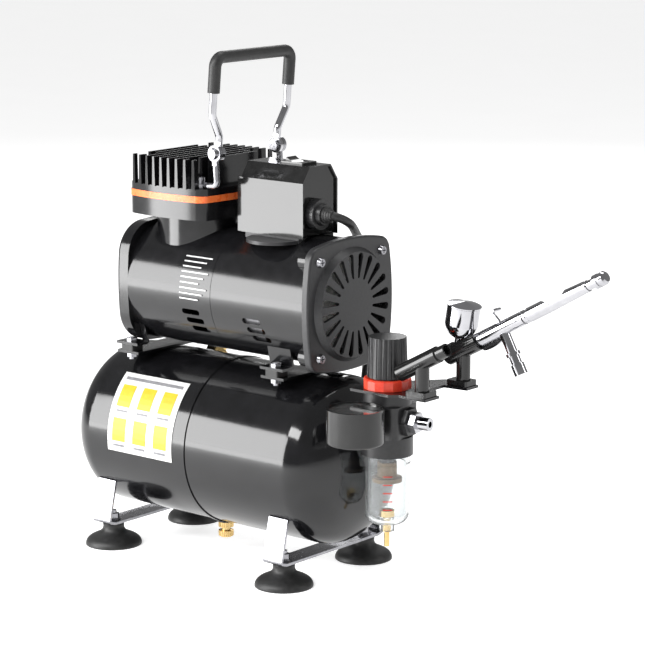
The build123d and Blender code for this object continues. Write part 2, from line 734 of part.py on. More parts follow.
BOX_WALL = 1.5
with BuildPart() as box_cover:
    with BuildSketch(across(BOX_X0)):
        with BuildLine():
            box_section(0, 256.0)
        make_face()
        with BuildLine():
            box_section(BOX_WALL, 250.0)
        make_face(mode=Mode.SUBTRACT)
    extrude(amount=BOX_X1 - BOX_X0)
    for x0 in (BOX_X0 + 1.5, BOX_X1 - 3.0):
        with BuildSketch(across(x0)):
            with BuildLine():
                box_section(BOX_WALL / 2, 257.2)
            make_face()
            if x0 > 50:
                with Locations((GLAND_Y, GLAND_Z)):
                    Circle(7.0, mode=Mode.SUBTRACT)
        extrude(amount=1.5)
    with BuildSketch(across(BOX_X0 - 4.5)):
        with Locations((-BOX_Y + BOX_WALL / 2 + 1.0, 276.5)):
            Rectangle(BOX_WALL, 41.0)
    extrude(amount=6.2)
    with BuildSketch(Plane.XY.offset(BOX_TOP - 4)):
        with Locations((ROCKER_X, 0)):
            Rectangle(19.6, 13.6)
    extrude(amount=8.0, mode=Mode.SUBTRACT)
save("box_cover", box_cover.part)

with BuildPart() as capacitor:
    with BuildSketch(across(32.0)):
        with Locations((0, 272.0)):
            Circle(12.0)
    extrude(amount=32.0)
    fillet(capacitor.edges().filter_by(GeomType.CIRCLE), 1.5)
    with BuildSketch(across(38.0)):
        with Locations((0, 259.4)):
            Rectangle(10.0, 4.2)
    extrude(amount=20.0)
save("capacitor", capacitor.part)

ROCKER_Z = BOX_TOP - 1.0
with BuildPart() as switch_housing:
    with BuildSketch(Plane.XY.offset(BOX_TOP)):
        with Locations((ROCKER_X, 0)):
            RectangleRounded(23.0, 16.0, 1.5)
    extrude(amount=1.8)
    with BuildSketch(Plane.XY.offset(BOX_TOP - 16.0)):
        with Locations((ROCKER_X, 0)):
            Rectangle(19.4, 13.4)
    extrude(amount=16.0)
    with BuildSketch(Plane.XY.offset(BOX_TOP - 7.0)):
        with Locations((ROCKER_X, 0)):
            Rectangle(18.4, 11.2)
    extrude(amount=12.0, mode=Mode.SUBTRACT)
save("switch_housing", switch_housing.part)

ROCKER_PLANE = Plane(origin=(ROCKER_X, 0, ROCKER_Z), x_dir=(math.cos(math.radians(ROCKER_TILT)), 0,
                                                          -math.sin(math.radians(ROCKER_TILT))),
                     z_dir=(0, -1, 0))
with BuildPart() as switch_rocker:
    with BuildSketch(ROCKER_PLANE):
        with BuildLine():
            Line((-6.0, -3.4), (6.0, -3.4))
            Line((6.0, -3.4), (8.4, 0.0))
            Line((8.4, 0.0), (8.2, 4.2))
            ThreePointArc((8.2, 4.2), (0.0, 2.4), (-8.2, 4.2))
            Line((-8.2, 4.2), (-8.4, 0.0))
            Line((-8.4, 0.0), (-6.0, -3.4))
        make_face()
    extrude(amount=5.3, both=True)
save("switch_rocker", switch_rocker.part)

with BuildPart() as cable_gland:
    with BuildSketch(across(BOX_X1 - 6.0)):
        with Locations((GLAND_Y, GLAND_Z)):
            Circle(7.0)
    extrude(amount=6.0)
    with BuildSketch(across(BOX_X1 - 1.5)):
        with Locations((GLAND_Y, GLAND_Z)):
            Circle(11.5)
            with PolarLocations(11.8, 28):
                Circle(0.5, mode=Mode.SUBTRACT)
    extrude(amount=7.0)
    with BuildSketch(across(BOX_X1 + 5.5)):
        with Locations((GLAND_Y, GLAND_Z)):
            Circle(8.3)
    extrude(amount=GLAND_OUT - 5.5, taper=12)
    with BuildSketch(across(BOX_X1 - 10.0)):
        with Locations((GLAND_Y, GLAND_Z)):
            Circle(CORD_R)
    extrude(amount=40, mode=Mode.SUBTRACT)
save("cable_gland", cable_gland.part)

# ================= rear end of the motor =================
LUG_R = 7.0
with BuildPart() as rear_end_bell:
    with BuildSketch(across(MOTOR_X1)):
        with Locations((0, MOTOR_Z)):
            Circle(MOTOR_R)
            Circle(MOTOR_R - 6.0, mode=Mode.SUBTRACT)
    extrude(amount=MOTOR_END - MOTOR_X1)
    with BuildSketch(across(98.0)):
        with Locations((0, MOTOR_Z)):
            with GridLocations(2 * SCREW_HALF, 2 * SCREW_HALF, 2, 2):
                Circle(LUG_R)
            Circle(MOTOR_R, mode=Mode.SUBTRACT)
    extrude(amount=MOTOR_END - 98.0)
    with BuildSketch(across(BEARINGS[1][0])):
        with Locations((0, MOTOR_Z)):
            Circle(BEARING_R + 3.0)
            for angle in (45, 135):
                Rectangle(2 * MOTOR_R - 2 * MOTOR_WALL - 1.0, 9.0, rotation=angle)
            Circle(BEARING_R, mode=Mode.SUBTRACT)
    extrude(amount=8.0)
    with BuildSketch(across(BEARINGS[1][0])):
        with Locations((0, MOTOR_Z)):
            Circle(MOTOR_R - MOTOR_WALL)
            Circle(MOTOR_R - 6.0, mode=Mode.SUBTRACT)
    extrude(amount=MOTOR_X1 - BEARINGS[1][0])
    with BuildSketch(across(98.0)):
        with Locations((0, MOTOR_Z)):
            with GridLocations(2 * SCREW_HALF, 2 * SCREW_HALF, 2, 2):
                Circle(2.0)
    extrude(amount=20.0, mode=Mode.SUBTRACT)
save("rear_end_bell", rear_end_bell.part)

GRILLE_R = 41.0
GRILLE_OUT = 4.6
SPOKES = 20
with BuildSketch(Plane.XY) as grille_slot:
    with BuildLine():
        Line((20.5, -1.0), (36.0, -2.7))
        ThreePointArc((36.0, -2.7), (38.6, 0), (36.0, 2.7))
        Line((36.0, 2.7), (20.5, 1.0))
        ThreePointArc((20.5, 1.0), (19.6, 0), (20.5, -1.0))
    make_face()

with BuildPart() as fan_cover:
    with BuildSketch(across(MOTOR_END)):
        with Locations((0, MOTOR_Z)):
            add(bowed_square(44.5, 44.5, 5.0, 5.0, 11.0))
    extrude(amount=COVER_T)
    fillet(fan_cover.faces().sort_by(Axis.X)[-1].edges(), 1.6)
    with BuildSketch(across(MOTOR_END)):
        with Locations((0, MOTOR_Z)):
            Circle(GRILLE_R)
    extrude(amount=3.2, mode=Mode.SUBTRACT)
    with BuildSketch(across(MOTOR_END + COVER_T)):
        with Locations((0, MOTOR_Z)):
            Circle(GRILLE_R + 1.5)
    extrude(amount=GRILLE_OUT, taper=35)
    with BuildSketch(across(MOTOR_END + 3.0)):
        with Locations((0, MOTOR_Z)):
            Circle(GRILLE_R)
    extrude(amount=GRILLE_OUT + 0.2, taper=35, mode=Mode.SUBTRACT)
    with BuildSketch(across(MOTOR_END - 5)):
        with Locations((0, MOTOR_Z)):
            with PolarLocations(0, SPOKES, start_angle=9.0):
                add(grille_slot.sketch)
    extrude(amount=30.0, mode=Mode.SUBTRACT)
    with BuildSketch(across(MOTOR_END - 1.0)):
        with Locations((0, MOTOR_Z)):
            with GridLocations(2 * SCREW_HALF, 2 * SCREW_HALF, 2, 2):
                Circle(2.1)
    extrude(amount=20.0, mode=Mode.SUBTRACT)
save("fan_cover", fan_cover.part)

with BuildPart() as screws:
    for x_face, way in ((MOTOR_END + COVER_T, 1), (MOTOR_X0 - END_BELL_T, -1)):
        spread = 2 * SCREW_HALF if way > 0 else 2 * SCREW_HALF - 4
        base = plane_at(x_face, 0, MOTOR_Z, (0, 1, 0), (way, 0, 0))
        with BuildSketch(base):
            with GridLocations(spread, spread, 2, 2):
                Circle(3.9)
        extrude(amount=2.4, taper=20)
        with BuildSketch(base):
            with GridLocations(spread, spread, 2, 2):
                Circle(1.9)
        extrude(amount=-6.0 if way < 0 else -12.0)
        with BuildSketch(base.offset(1.2)):
            with GridLocations(spread, spread, 2, 2):
                Rectangle(4.4, 0.9)
                Rectangle(0.9, 4.4)
        extrude(amount=2.0, mode=Mode.SUBTRACT)
    for hx, hy in HEAD_BOLTS:
        with BuildSketch(Plane.XY.offset(PLATE_Z - 9.0)):
            with Locations((hx, hy)):
                Circle(2.5)
        extrude(amount=BOLT_HEAD_Z - PLATE_Z + 9.0)
        with BuildSketch(Plane.XY.offset(BOLT_HEAD_Z)):
            with Locations((hx, hy)):
                Circle(4.3)
        extrude(amount=5.0)
        with BuildSketch(Plane.XY.offset(BOLT_HEAD_Z + 2.0)):
            with Locations((hx, hy)):
                RegularPolygon(2.2, 6, major_radius=False)
        extrude(amount=5.0, mode=Mode.SUBTRACT)
    for sy in (-1, 1):
        with BuildSketch(side_on(sy * (EYE_IN - 3.0))):
            with Locations((HANDLE_X, HANDLE_Z)):
                Circle(2.5)
        extrude(amount=-sy * (BRACKET_OUT - EYE_IN + 3.0))
        with BuildSketch(side_on(sy * (EYE_IN - GAP))):
            with Locations((HANDLE_X, HANDLE_Z)):
                RegularPolygon(3.8, 6, major_radius=False)
        extrude(amount=sy * 2.7)
        with BuildSketch(plane_at(HANDLE_X, sy * BRACKET_OUT, HANDLE_Z, (1, 0, 0), (0, sy, 0))):
            Circle(4.6)
        extrude(amount=2.8, taper=22)
save("screws", screws.part)

# ================= air line from the head to the tank =================
HOSE_R = 4.5
with BuildPart() as hose_fittings:
    with BuildSketch(plane_at(HEAD_X, HEAD_HALF_Y + 4.4, 271.0, (1, 0, 0), (0, 1, 0))):
        RegularPolygon(6.5, 6, major_radius=False)
    extrude(amount=7.6)
    with BuildSketch(plane_at(HEAD_X, HEAD_HALF_Y + 12.0, 271.0, (1, 0, 0), (0, 1, 0))):
        Circle(5.5)
    extrude(amount=6.0)
    with BuildSketch(TANK_PORT.offset(TANK_R + 0.2)):
        RegularPolygon(8.0, 6, major_radius=False)
    extrude(amount=7.0)
    with BuildSketch(TANK_PORT.offset(TANK_R - 5.0)):
        Circle(3.95)
    extrude(amount=6.0)
    with BuildSketch(TANK_PORT.offset(TANK_R + 7.2)):
        Circle(6.0)
    extrude(amount=8.0)
save("hose_fittings", hose_fittings.part)

HOSE_START = (HEAD_X, HEAD_HALF_Y + 18.0, 271.0)
HOSE_END = (HOSE_TANK_X, (TANK_R + 15.2) * PORT_DIR[1], TANK_Z + (TANK_R + 15.2) * PORT_DIR[2])
HOSE_ROUTE = [
    HOSE_START, (HEAD_X, HEAD_HALF_Y + 34.0, 271.0), (-48.0, 80.0, 226.0),
    (HOSE_TANK_X, HOSE_END[1] + 24 * PORT_DIR[1], HOSE_END[2] + 24 * PORT_DIR[2]), HOSE_END,
]
with BuildPart() as air_hose:
    with BuildLine():
        FilletPolyline(*HOSE_ROUTE, radius=11.0)
    with BuildSketch(plane_at(*HOSE_START, (1, 0, 0), (0, 1, 0))):
        Circle(HOSE_R)
    sweep()
save("air_hose", air_hose.part)

# ================= filter regulator =================
YAW = math.radians(REG_YAW)
REG = plane_at(REG_X, REG_Y, 0, (math.cos(YAW), math.sin(YAW), 0), (0, 0, 1))
REG_AXIS = Axis((REG_X, REG_Y, 0), (0, 0, 1))
BODY_Z0 = 105.0
BODY_Z1 = 151.7
SPINDLE_R = 4.0
KNOB_Z0 = 162.6
KNOB_Z1 = 192.0


def reg_side(z, angle):
    """Plane on the regulator axis facing out at an angle from its outlet."""
    turn = YAW + math.radians(angle)
    return plane_at(REG_X, REG_Y, z, (-math.sin(turn), math.cos(turn), 0),
                    (math.cos(turn), math.sin(turn), 0))


def disc(name_plane, z, radius, height):
    with BuildSketch(name_plane.offset(z)) as face:
        Circle(radius)
    extrude(face.sketch, amount=height)


with BuildPart() as regulator_body:
    disc(REG, BODY_Z0, 19.0, 14.0)
    with BuildSketch(REG.offset(119.0)):
        RectangleRounded(34.0, 34.0, 6.0)
    extrude(amount=24.0)
    disc(REG, 143.0, 18.0, BODY_Z1 - 143.0)
    disc(REG, BODY_Z1, 12.8, 164.6 - BODY_Z1)
    with BuildSketch(reg_side(REG_PORT_Z, 0).offset(10.0)):
        RegularPolygon(9.5, 6, major_radius=False)
    extrude(amount=11.0)
    with BuildSketch(reg_side(REG_PORT_Z, 180).offset(10.0)):
        Circle(9.0)
    extrude(amount=9.5)
    disc(REG, 99.0, 5.0, 6.0)
    with BuildSketch(REG.offset(138.0)):
        Circle(SPINDLE_R + RUN_FIT)
    extrude(amount=40.0, mode=Mode.SUBTRACT)
    with BuildSketch(reg_side(REG_PORT_Z, 0).offset(12.0)):
        Circle(4.9)
    extrude(amount=20.0, mode=Mode.SUBTRACT)
    with BuildSketch(reg_side(REG_PORT_Z, 180).offset(12.0)):
        Circle(4.9)
    extrude(amount=20.0, mode=Mode.SUBTRACT)
    with BuildSketch(reg_side(REG_PORT_Z, -90).offset(12.0)):
        Circle(4.9)
    extrude(amount=20.0, mode=Mode.SUBTRACT)
save("regulator_body", regulator_body.part)

with BuildPart() as lock_ring:
    with BuildSketch(REG.offset(154.2)):
        RegularPolygon(17.6, 16)
        Circle(12.85, mode=Mode.SUBTRACT)
    extrude(amount=7.6)
    chamfer(lock_ring.faces().sort_by(Axis.Z)[-1].outer_wire().edges(), 0.9)
save("lock_ring", lock_ring.part)

with BuildPart() as regulator_spindle:
    disc(REG, 140.0, SPINDLE_R, 47.0)
save("regulator_spindle", regulator_spindle.part)

with BuildPart() as regulator_knob:
    with BuildSketch(REG.offset(KNOB_Z0)):
        Circle(14.9)
        with PolarLocations(15.2, 24):
            Circle(0.75, mode=Mode.SUBTRACT)
    extrude(amount=KNOB_Z1 - KNOB_Z0, taper=2.2)
    with BuildSketch(REG.offset(KNOB_Z0)):
        Circle(13.1)
    extrude(amount=3.0, mode=Mode.SUBTRACT)
    with BuildSketch(REG.offset(KNOB_Z0)):
        Circle(SPINDLE_R + RUN_FIT)
    extrude(amount=28.0, mode=Mode.SUBTRACT)
save("regulator_knob", regulator_knob.part)

with BuildPart() as regulator_fittings:
    with BuildSketch(reg_side(REG_PORT_Z, 180).offset(12.2)):
        Circle(4.8)
    extrude(amount=26.0)
    with BuildSketch(reg_side(REG_PORT_Z, 180).offset(20.0)):
        RegularPolygon(7.0, 6, major_radius=False)
    extrude(amount=5.0)
    with BuildSketch(reg_side(REG_PORT_Z, 0).offset(12.2)):
        Circle(4.85)
    extrude(amount=9.0)
    with BuildSketch(reg_side(REG_PORT_Z, 0).offset(21.2)):
        RegularPolygon(7.0, 6, major_radius=False)
    extrude(amount=5.5)
    with BuildSketch(reg_side(REG_PORT_Z, 0).offset(26.7)):
        Circle(4.85)
    extrude(amount=9.5)
    with BuildSketch(reg_side(REG_PORT_Z, 0).offset(14.0)):
        Circle(2.3)
    extrude(amount=40.0, mode=Mode.SUBTRACT)
    # the inlet pipe is welded to the outside of the dome
    with BuildSketch(PORT_WALL):
        Circle(12.0)
    extrude(amount=-24.0, mode=Mode.SUBTRACT)
save("regulator_fittings", regulator_fittings.part)

GAUGE = Plane(origin=reg_side(REG_PORT_Z, -90).offset(GAUGE_OUT).origin, x_dir=REG.x_dir, z_dir=(0, 0, 1))
GAUGE_Z0 = 121.0
GAUGE_H = 26.0
with BuildPart() as gauge_case:
    with BuildSketch(GAUGE.offset(GAUGE_Z0 - REG_PORT_Z)):
        Circle(21.0)
    extrude(amount=GAUGE_H)
    fillet(gauge_case.faces().sort_by(Axis.Z)[0].edges(), 2.0)
    with BuildSketch(GAUGE.offset(GAUGE_Z0 - REG_PORT_Z + 14.0)):
        Circle(18.6)
    extrude(amount=30.0, mode=Mode.SUBTRACT)
    with BuildSketch(GAUGE.offset(GAUGE_Z0 - REG_PORT_Z + GAUGE_H - 3.0)):
        Circle(19.6)
    extrude(amount=10.0, mode=Mode.SUBTRACT)
    with BuildSketch(reg_side(REG_PORT_Z, -90).offset(12.2)):
        Circle(4.85)
    extrude(amount=GAUGE_OUT - 12.2 - 18.0)
    with BuildSketch(GAUGE.offset(GAUGE_Z0 - REG_PORT_Z + 14.0)):
        Circle(0.9)
    extrude(amount=5.5)
save("gauge_case", gauge_case.part)

NEEDLE_Z = GAUGE_Z0 + 16.0
with BuildPart() as gauge_needle:
    with BuildSketch(GAUGE.offset(NEEDLE_Z - REG_PORT_Z)):
        Circle(2.4)
        with BuildLine():
            Polyline((-0.9, 0), (-0.35, -15.0), (0.35, -15.0), (0.9, 0), (1.1, 5.0), (-1.1, 5.0), close=True)
        make_face()
        Circle(0.9 + RUN_FIT, mode=Mode.SUBTRACT)
    extrude(amount=1.0)
    # the needle starts at the low end of the dial
save("gauge_needle", gauge_needle.part)

with BuildPart() as gauge_lens:
    with BuildSketch(GAUGE.offset(GAUGE_Z0 - REG_PORT_Z + GAUGE_H - 3.0)):
        Circle(19.55)
    extrude(amount=2.0)
save("gauge_lens", gauge_lens.part)

BOWL_Z0 = 53.0
BOWL_R = 16.0
with BuildPart() as filter_bowl:
    with BuildSketch(plane_at(REG_X, REG_Y, 0, (1, 0, 0), (0, -1, 0))):
        with BuildLine():
            Polyline((3.05, 47.0), (5.5, 47.0), (5.5, BOWL_Z0))
            Line((5.5, BOWL_Z0), (9.0, BOWL_Z0))
            ThreePointArc((9.0, BOWL_Z0), (14.2, 55.4), (BOWL_R, 61.0))
            Polyline((BOWL_R, 61.0), (BOWL_R, 98.0), (17.2, 98.6), (17.2, 104.8), (14.0, 104.8),
                (14.0, 62.0))
            ThreePointArc((14.0, 62.0), (12.4, 57.2), (8.0, 55.4))
            Polyline((8.0, 55.4), (3.05, 55.4), (3.05, 47.0))
        make_face()
    revolve(axis=REG_AXIS)
save("filter_bowl", filter_bowl.part)

with BuildPart() as filter_element:
    with BuildSketch(REG.offset(87.5)):
        Circle(7.15)
        Circle(2.5, mode=Mode.SUBTRACT)
    extrude(amount=11.5)
    with BuildSketch(REG.offset(84.5)):
        Circle(11.0)
    extrude(amount=3.0)
    disc(REG, 87.5, 2.5, 11.5)
save("filter_element", filter_element.part)

with BuildPart() as bowl_drain_valve:
    disc(REG, 35.0, 2.0, 12.0 - GAP)
    disc(REG, 46.0, 3.0, 11.5)
    disc(REG, 57.5, 5.5, 5.0)
save("bowl_drain_valve", bowl_drain_valve.part)

# ================= airbrush holder =================
POST_X = 193.5
with BuildPart() as holder_plate:
    with BuildSketch(Plane.XY.offset(HOLD_Z)):
        with BuildLine():
            Polyline(
                (137.0, -30.0), (172.0, -30.0), (178.0, -25.5), (202.0, -25.5), (202.0, -9.0), (183.0, -6.0),
                (183.0, 22.0), (202.0, 24.0), (202.0, 38.0), (172.0, 38.0), (150.0, 12.0), (137.0, 10.0),
                close=True,
            )
        make_face()
        with Locations((REG_X, REG_Y)):
            Circle(12.85, mode=Mode.SUBTRACT)
    extrude(amount=2.0)
save("holder_plate", holder_plate.part)

PITCH = math.radians(BRUSH_PITCH)
ALONG = (math.cos(PITCH), 0, math.sin(PITCH))


def brush_plane(x, y, z):
    """Plane holding a tube's axis: local x runs up along it, local y is square to it."""
    return Plane(origin=(x, y, z), x_dir=ALONG, z_dir=(0, -1, 0))


TUBE1 = brush_plane(191.0, FREE_TUBE_Y, 177.6)
MOUTH = brush_plane(207.6, BRUSH_Y, 189.4)
TUBE1_AXIS = Axis(TUBE1.origin, ALONG)
BRUSH_AXIS = Axis(MOUTH.origin, ALONG)
BLOCK_X = 192.0
FREE_BORE_R = 3.6


def lathe(base, axis, points):
    with BuildSketch(base) as section:
        with BuildLine():
            Polyline(*points, close=True)
        make_face()
    revolve(section.sketch, axis=axis)


BRUSH_R = 5.25
SLOT_HALF = 5.4
with BuildPart() as airbrush_holders:
    with BuildSketch(Plane.XY.offset(HOLD_Z + 2.0)):
        with Locations((BLOCK_X, FREE_TUBE_Y + 0.7)):
            RectangleRounded(18.0, 15.0, 1.5)
    extrude(amount=4.0)
    disc(plane_at(POST_X, FREE_TUBE_Y, 0, (1, 0, 0), (0, 0, 1)), HOLD_Z + 2.0, 5.25, 24.0)
    lathe(TUBE1, TUBE1_AXIS, [(-19.5, 0), (-19.5, 6.1), (19.0, 6.1), (19.6, 4.9), (27.5, 4.9), (27.5, 0)])
    with BuildSketch(plane_at(*(TUBE1.origin - Vector(*ALONG) * 25), (0, 1, 0), ALONG)):
        Circle(FREE_BORE_R)
    extrude(amount=70.0, mode=Mode.SUBTRACT)
    with BuildSketch(Plane.XY.offset(HOLD_Z + 2.0)):
        with Locations((BLOCK_X, BRUSH_Y)):
            RectangleRounded(18.0, 13.5, 1.5)
    extrude(amount=4.0)
    disc(plane_at(POST_X, BRUSH_Y, 0, (1, 0, 0), (0, 0, 1)), HOLD_Z + 2.0, 5.25, 26.0)
    lathe(MOUTH, BRUSH_AXIS, [(-31.5, 0), (-31.5, 7.5), (0, 7.5), (0, 0)])
    with BuildSketch(plane_at(*(MOUTH.origin - Vector(*ALONG) * 50), (0, 1, 0), ALONG)):
        Circle(BRUSH_R + GAP)
    extrude(amount=70.0, mode=Mode.SUBTRACT)
    with BuildSketch(MOUTH):
        with Locations((-10.5, 7.5)):
            Rectangle(27.0, 15.0)
    extrude(amount=SLOT_HALF, both=True, mode=Mode.SUBTRACT)
save("airbrush_holders", airbrush_holders.part)

# ================= airbrush =================
CUP_DIR_S = math.sin(math.radians(CUP_LEAN))
CUP_DIR_T = math.cos(math.radians(CUP_LEAN))
CUP_BASE = (-15.8, 8.4)
CUP_PLANE = Plane(
    origin=MOUTH.from_local_coords((CUP_BASE[0], CUP_BASE[1], 0)),
    x_dir=(
        ALONG[0] * CUP_DIR_T + math.sin(PITCH) * CUP_DIR_S, 0,
            ALONG[2] * CUP_DIR_T - math.cos(PITCH) * CUP_DIR_S,
    ),
    z_dir=(0, -1, 0),
)
CUP_AXIS = Axis(CUP_PLANE.origin, CUP_PLANE.y_dir)
CUP_R = 12.4
CUP_SEAT = Plane(origin=CUP_PLANE.from_local_coords((0, -0.6, 0)), x_dir=(0, 1, 0), z_dir=CUP_PLANE.y_dir)
V_TRIG = 21.0
V_VALVE = 23.2
VALVE_R = 5.0
PLUNGER_R = 1.5
VALVE_DOWN = Plane(origin=MOUTH.from_local_coords((V_VALVE, -8.0, 0)), x_dir=ALONG,
                   z_dir=(math.sin(PITCH), 0, -math.cos(PITCH)))
with BuildPart() as airbrush_body:
    lathe(MOUTH, BRUSH_AXIS, [
        (-38.0, 0), (-38.0, 1.7), (-34.5, 3.4), (-31.0, 4.2), (-22.0, BRUSH_R), (45.0, BRUSH_R),
        (45.0, 0),
    ])
    # web under the body, from the mouth to the air valve
    with BuildSketch(MOUTH):
        with BuildLine():
            Polyline((1.0, -4.0), (1.0, -8.6), (3.5, -9.4))
            Spline((3.5, -9.4), (12.0, -9.6), (V_VALVE - 3.0, -7.6))
            Polyline((V_VALVE - 3.0, -7.6), (V_VALVE - 3.0, -4.0), (1.0, -4.0))
        make_face()
    extrude(amount=1.6, both=True)
    # neck under the colour cup
    with BuildSketch(CUP_SEAT):
        Circle(3.3)
    extrude(amount=-7.0)
    # air valve seat
    with BuildSketch(Plane(origin=MOUTH.from_local_coords((V_VALVE, -4.0, 0)), x_dir=ALONG,
                           z_dir=(math.sin(PITCH), 0, -math.cos(PITCH)))):
        Circle(4.0)
    extrude(amount=4.0)
    # needle bore and trigger well
    with BuildSketch(plane_at(*(MOUTH.origin - Vector(*ALONG) * 40), (0, 1, 0), ALONG)):
        Circle(1.0)
    extrude(amount=90.0, mode=Mode.SUBTRACT)
    with BuildSketch(plane_at(*(MOUTH.origin + Vector(*ALONG) * 14), (0, 1, 0), ALONG)):
        Circle(3.6)
    extrude(amount=40.0, mode=Mode.SUBTRACT)
    with BuildSketch(MOUTH):
        with Locations((V_TRIG + 1.5, 6.0)):
            Rectangle(9.0, 8.0)
    extrude(amount=1.9, both=True, mode=Mode.SUBTRACT)
    with BuildSketch(MOUTH):
        with Locations((V_VALVE, -6.0)):
            Rectangle(3.8, 9.0)
    extrude(amount=1.55, both=True, mode=Mode.SUBTRACT)
    # air valve with its hose thread
    for z0, radius, height in ((-0.4, 4.0, 11.4), (11.0, 5.4, 2.6), (13.6, 4.0, 6.2), (19.8, VALVE_R, 8.2)):
        disc(VALVE_DOWN, z0, radius, height)
    with BuildSketch(VALVE_DOWN.offset(-1.0)):
        Circle(PLUNGER_R + RUN_FIT)
    extrude(amount=26.0, mode=Mode.SUBTRACT)
save("airbrush_body", airbrush_body.part)

with BuildPart() as colour_cup:
    with BuildSketch(CUP_PLANE):
        with BuildLine():
            Line((2.2, -0.6), (4.2, -0.6))
            Spline((4.2, -0.6), (9.6, 3.4), (CUP_R, 10.0), tangents=[(1, 0.35), (0.12, 1)])
            Polyline((CUP_R, 10.0), (CUP_R, 23.5), (CUP_R - 0.8, 23.5), (CUP_R - 0.8, 10.0))
            Spline((CUP_R - 0.8, 10.0), (9.0, 4.2), (2.2, 0.4), tangents=[(-0.12, -1), (-1, -0.35)])
            Line((2.2, 0.4), (2.2, -0.6))
        make_face()
    revolve(axis=CUP_AXIS)
save("colour_cup", colour_cup.part)

with BuildPart() as cup_lid:
    with BuildSketch(CUP_PLANE):
        with BuildLine():
            Polyline(
                (0, 24.0), (10.6, 24.0), (10.6, 21.5), (11.3, 21.5), (11.3, 23.8), (CUP_R + 0.5, 23.8),
                (CUP_R + 0.5, 24.6), (1.2, 27.0), (0, 27.2), close=True,
            )
        make_face()
    revolve(axis=CUP_AXIS)
save("cup_lid", cup_lid.part)

with BuildPart() as valve_plunger:
    with BuildSketch(VALVE_DOWN.offset(3.8 - 7.6)):
        Circle(PLUNGER_R)
    extrude(amount=12.0)
save("valve_plunger", valve_plunger.part)

with BuildPart() as trigger:
    with BuildSketch(MOUTH):
        with BuildLine():
            Polyline(
                (V_VALVE - 1.4, -3.8), (V_VALVE, -4.2), (V_VALVE + 1.4, -3.8), (V_TRIG + 2.0, 7.0),
                (V_TRIG - 0.4, 13.4), (V_TRIG - 2.0, 13.4), (V_TRIG - 0.4, 7.0), close=True,
            )
        make_face()
    extrude(amount=1.3, both=True)
    with BuildSketch(MOUTH):
        with Locations((V_TRIG - 1.2, 14.0)):
            SlotOverall(11.0, 2.6, rotation=0)
    extrude(amount=4.6, both=True)
    # slot the paint needle runs through
    with BuildSketch(plane_at(*(MOUTH.origin + Vector(*ALONG) * 10), (0, 1, 0), ALONG)):
        with Locations((0, 1.2)):
            Rectangle(1.6, 4.8)
    extrude(amount=30.0, mode=Mode.SUBTRACT)
save("trigger", trigger.part)

HANDLE_S0 = 45.2
with BuildPart() as airbrush_handle:
    lathe(MOUTH, BRUSH_AXIS, [
        (HANDLE_S0, 0), (HANDLE_S0, 4.9), (HANDLE_S0 + 1.0, BRUSH_R), (HANDLE_S0 + 3.0, BRUSH_R),
        (HANDLE_S0 + 3.6, 4.9), (HANDLE_S0 + 4.6, 4.9), (HANDLE_S0 + 5.2, BRUSH_R + 0.2),
        (70.0, BRUSH_R + 0.2),
        (105.0, 4.4), (106.0, 4.2), (106.0, 0),
    ])
    with BuildSketch(plane_at(*(MOUTH.origin + Vector(*ALONG) * HANDLE_S0), (0, 1, 0), ALONG)):
        Circle(3.6)
    extrude(amount=56.0, mode=Mode.SUBTRACT)
    with BuildSketch(plane_at(*(MOUTH.origin + Vector(*ALONG) * 95), (0, 1, 0), ALONG)):
        Circle(1.5 + RUN_FIT)
    extrude(amount=20.0, mode=Mode.SUBTRACT)
    # cut-away that shows the needle chuck
    with BuildSketch(MOUTH):
        with Locations((75.0, 5.4)):
            SlotOverall(24.0, 6.0)
    extrude(amount=9, both=True, mode=Mode.SUBTRACT)
save("airbrush_handle", airbrush_handle.part)

with BuildPart() as needle_chuck:
    lathe(MOUTH, BRUSH_AXIS, [
        (-41.0, 0), (-41.0, 0.2), (-36.0, 0.7), (56.0, 0.7), (56.0, 2.9), (78.0, 2.9),
        (78.0, 2.0), (86.0, 2.0),
        (86.0, 0),
    ])
save("needle_chuck", needle_chuck.part)

with BuildPart() as tail_knob:
    lathe(MOUTH, BRUSH_AXIS, [
        (98.0, 0), (98.0, 1.5), (106.3, 1.5), (106.3, 3.6), (112.5, 3.6), (112.9, 5.2),
        (116.2, 5.2), (116.6, 4.5),
        (118.0, 4.5), (118.4, 5.2), (121.4, 5.0), (123.0, 3.6), (123.0, 0),
    ])
save("tail_knob", tail_knob.part)

# ================= power cord =================
CORD_START = (BOX_X1 + GLAND_OUT, GLAND_Y, GLAND_Z)
COIL_X = -60.0
COIL_Y = 142.0
COIL_MID_R = 35.0
COIL_H = 19.6
CORD_ROUTE = [
    CORD_START, (97.5, -4.5, 273.2), (101.5, -2.0, 272.2), (103.8, 3.0, 270.0), (103.5, 11.0, 266.0),
    (97.5, 21.5, 261.5), (89.0, 36.0, 254.0), (81.0, 54.0, 240.0), (74.0, 70.0, 214.0), (66.0, 81.0, 178.0),
    (59.0, 86.0, 138.0), (51.0, 88.0, 98.0), (43.0, 91.0, 60.0), (28.0, 96.0, 28.0), (0.0, 103.0, 9.0),
    (COIL_X + 22.0, COIL_Y - COIL_MID_R, 4.6),
]


def bend_radii(route):
    """The arc at each inner point, as large as its two runs allow."""
    radii = []
    for before, here, after in zip(route, route[1:], route[2:]):
        run_in = Vector(*here) - Vector(*before)
        run_out = Vector(*after) - Vector(*here)
        turn = math.radians(run_in.get_angle(run_out))
        radii.append(0.45 * min(run_in.length, run_out.length) / math.tan(turn / 2))
    return radii


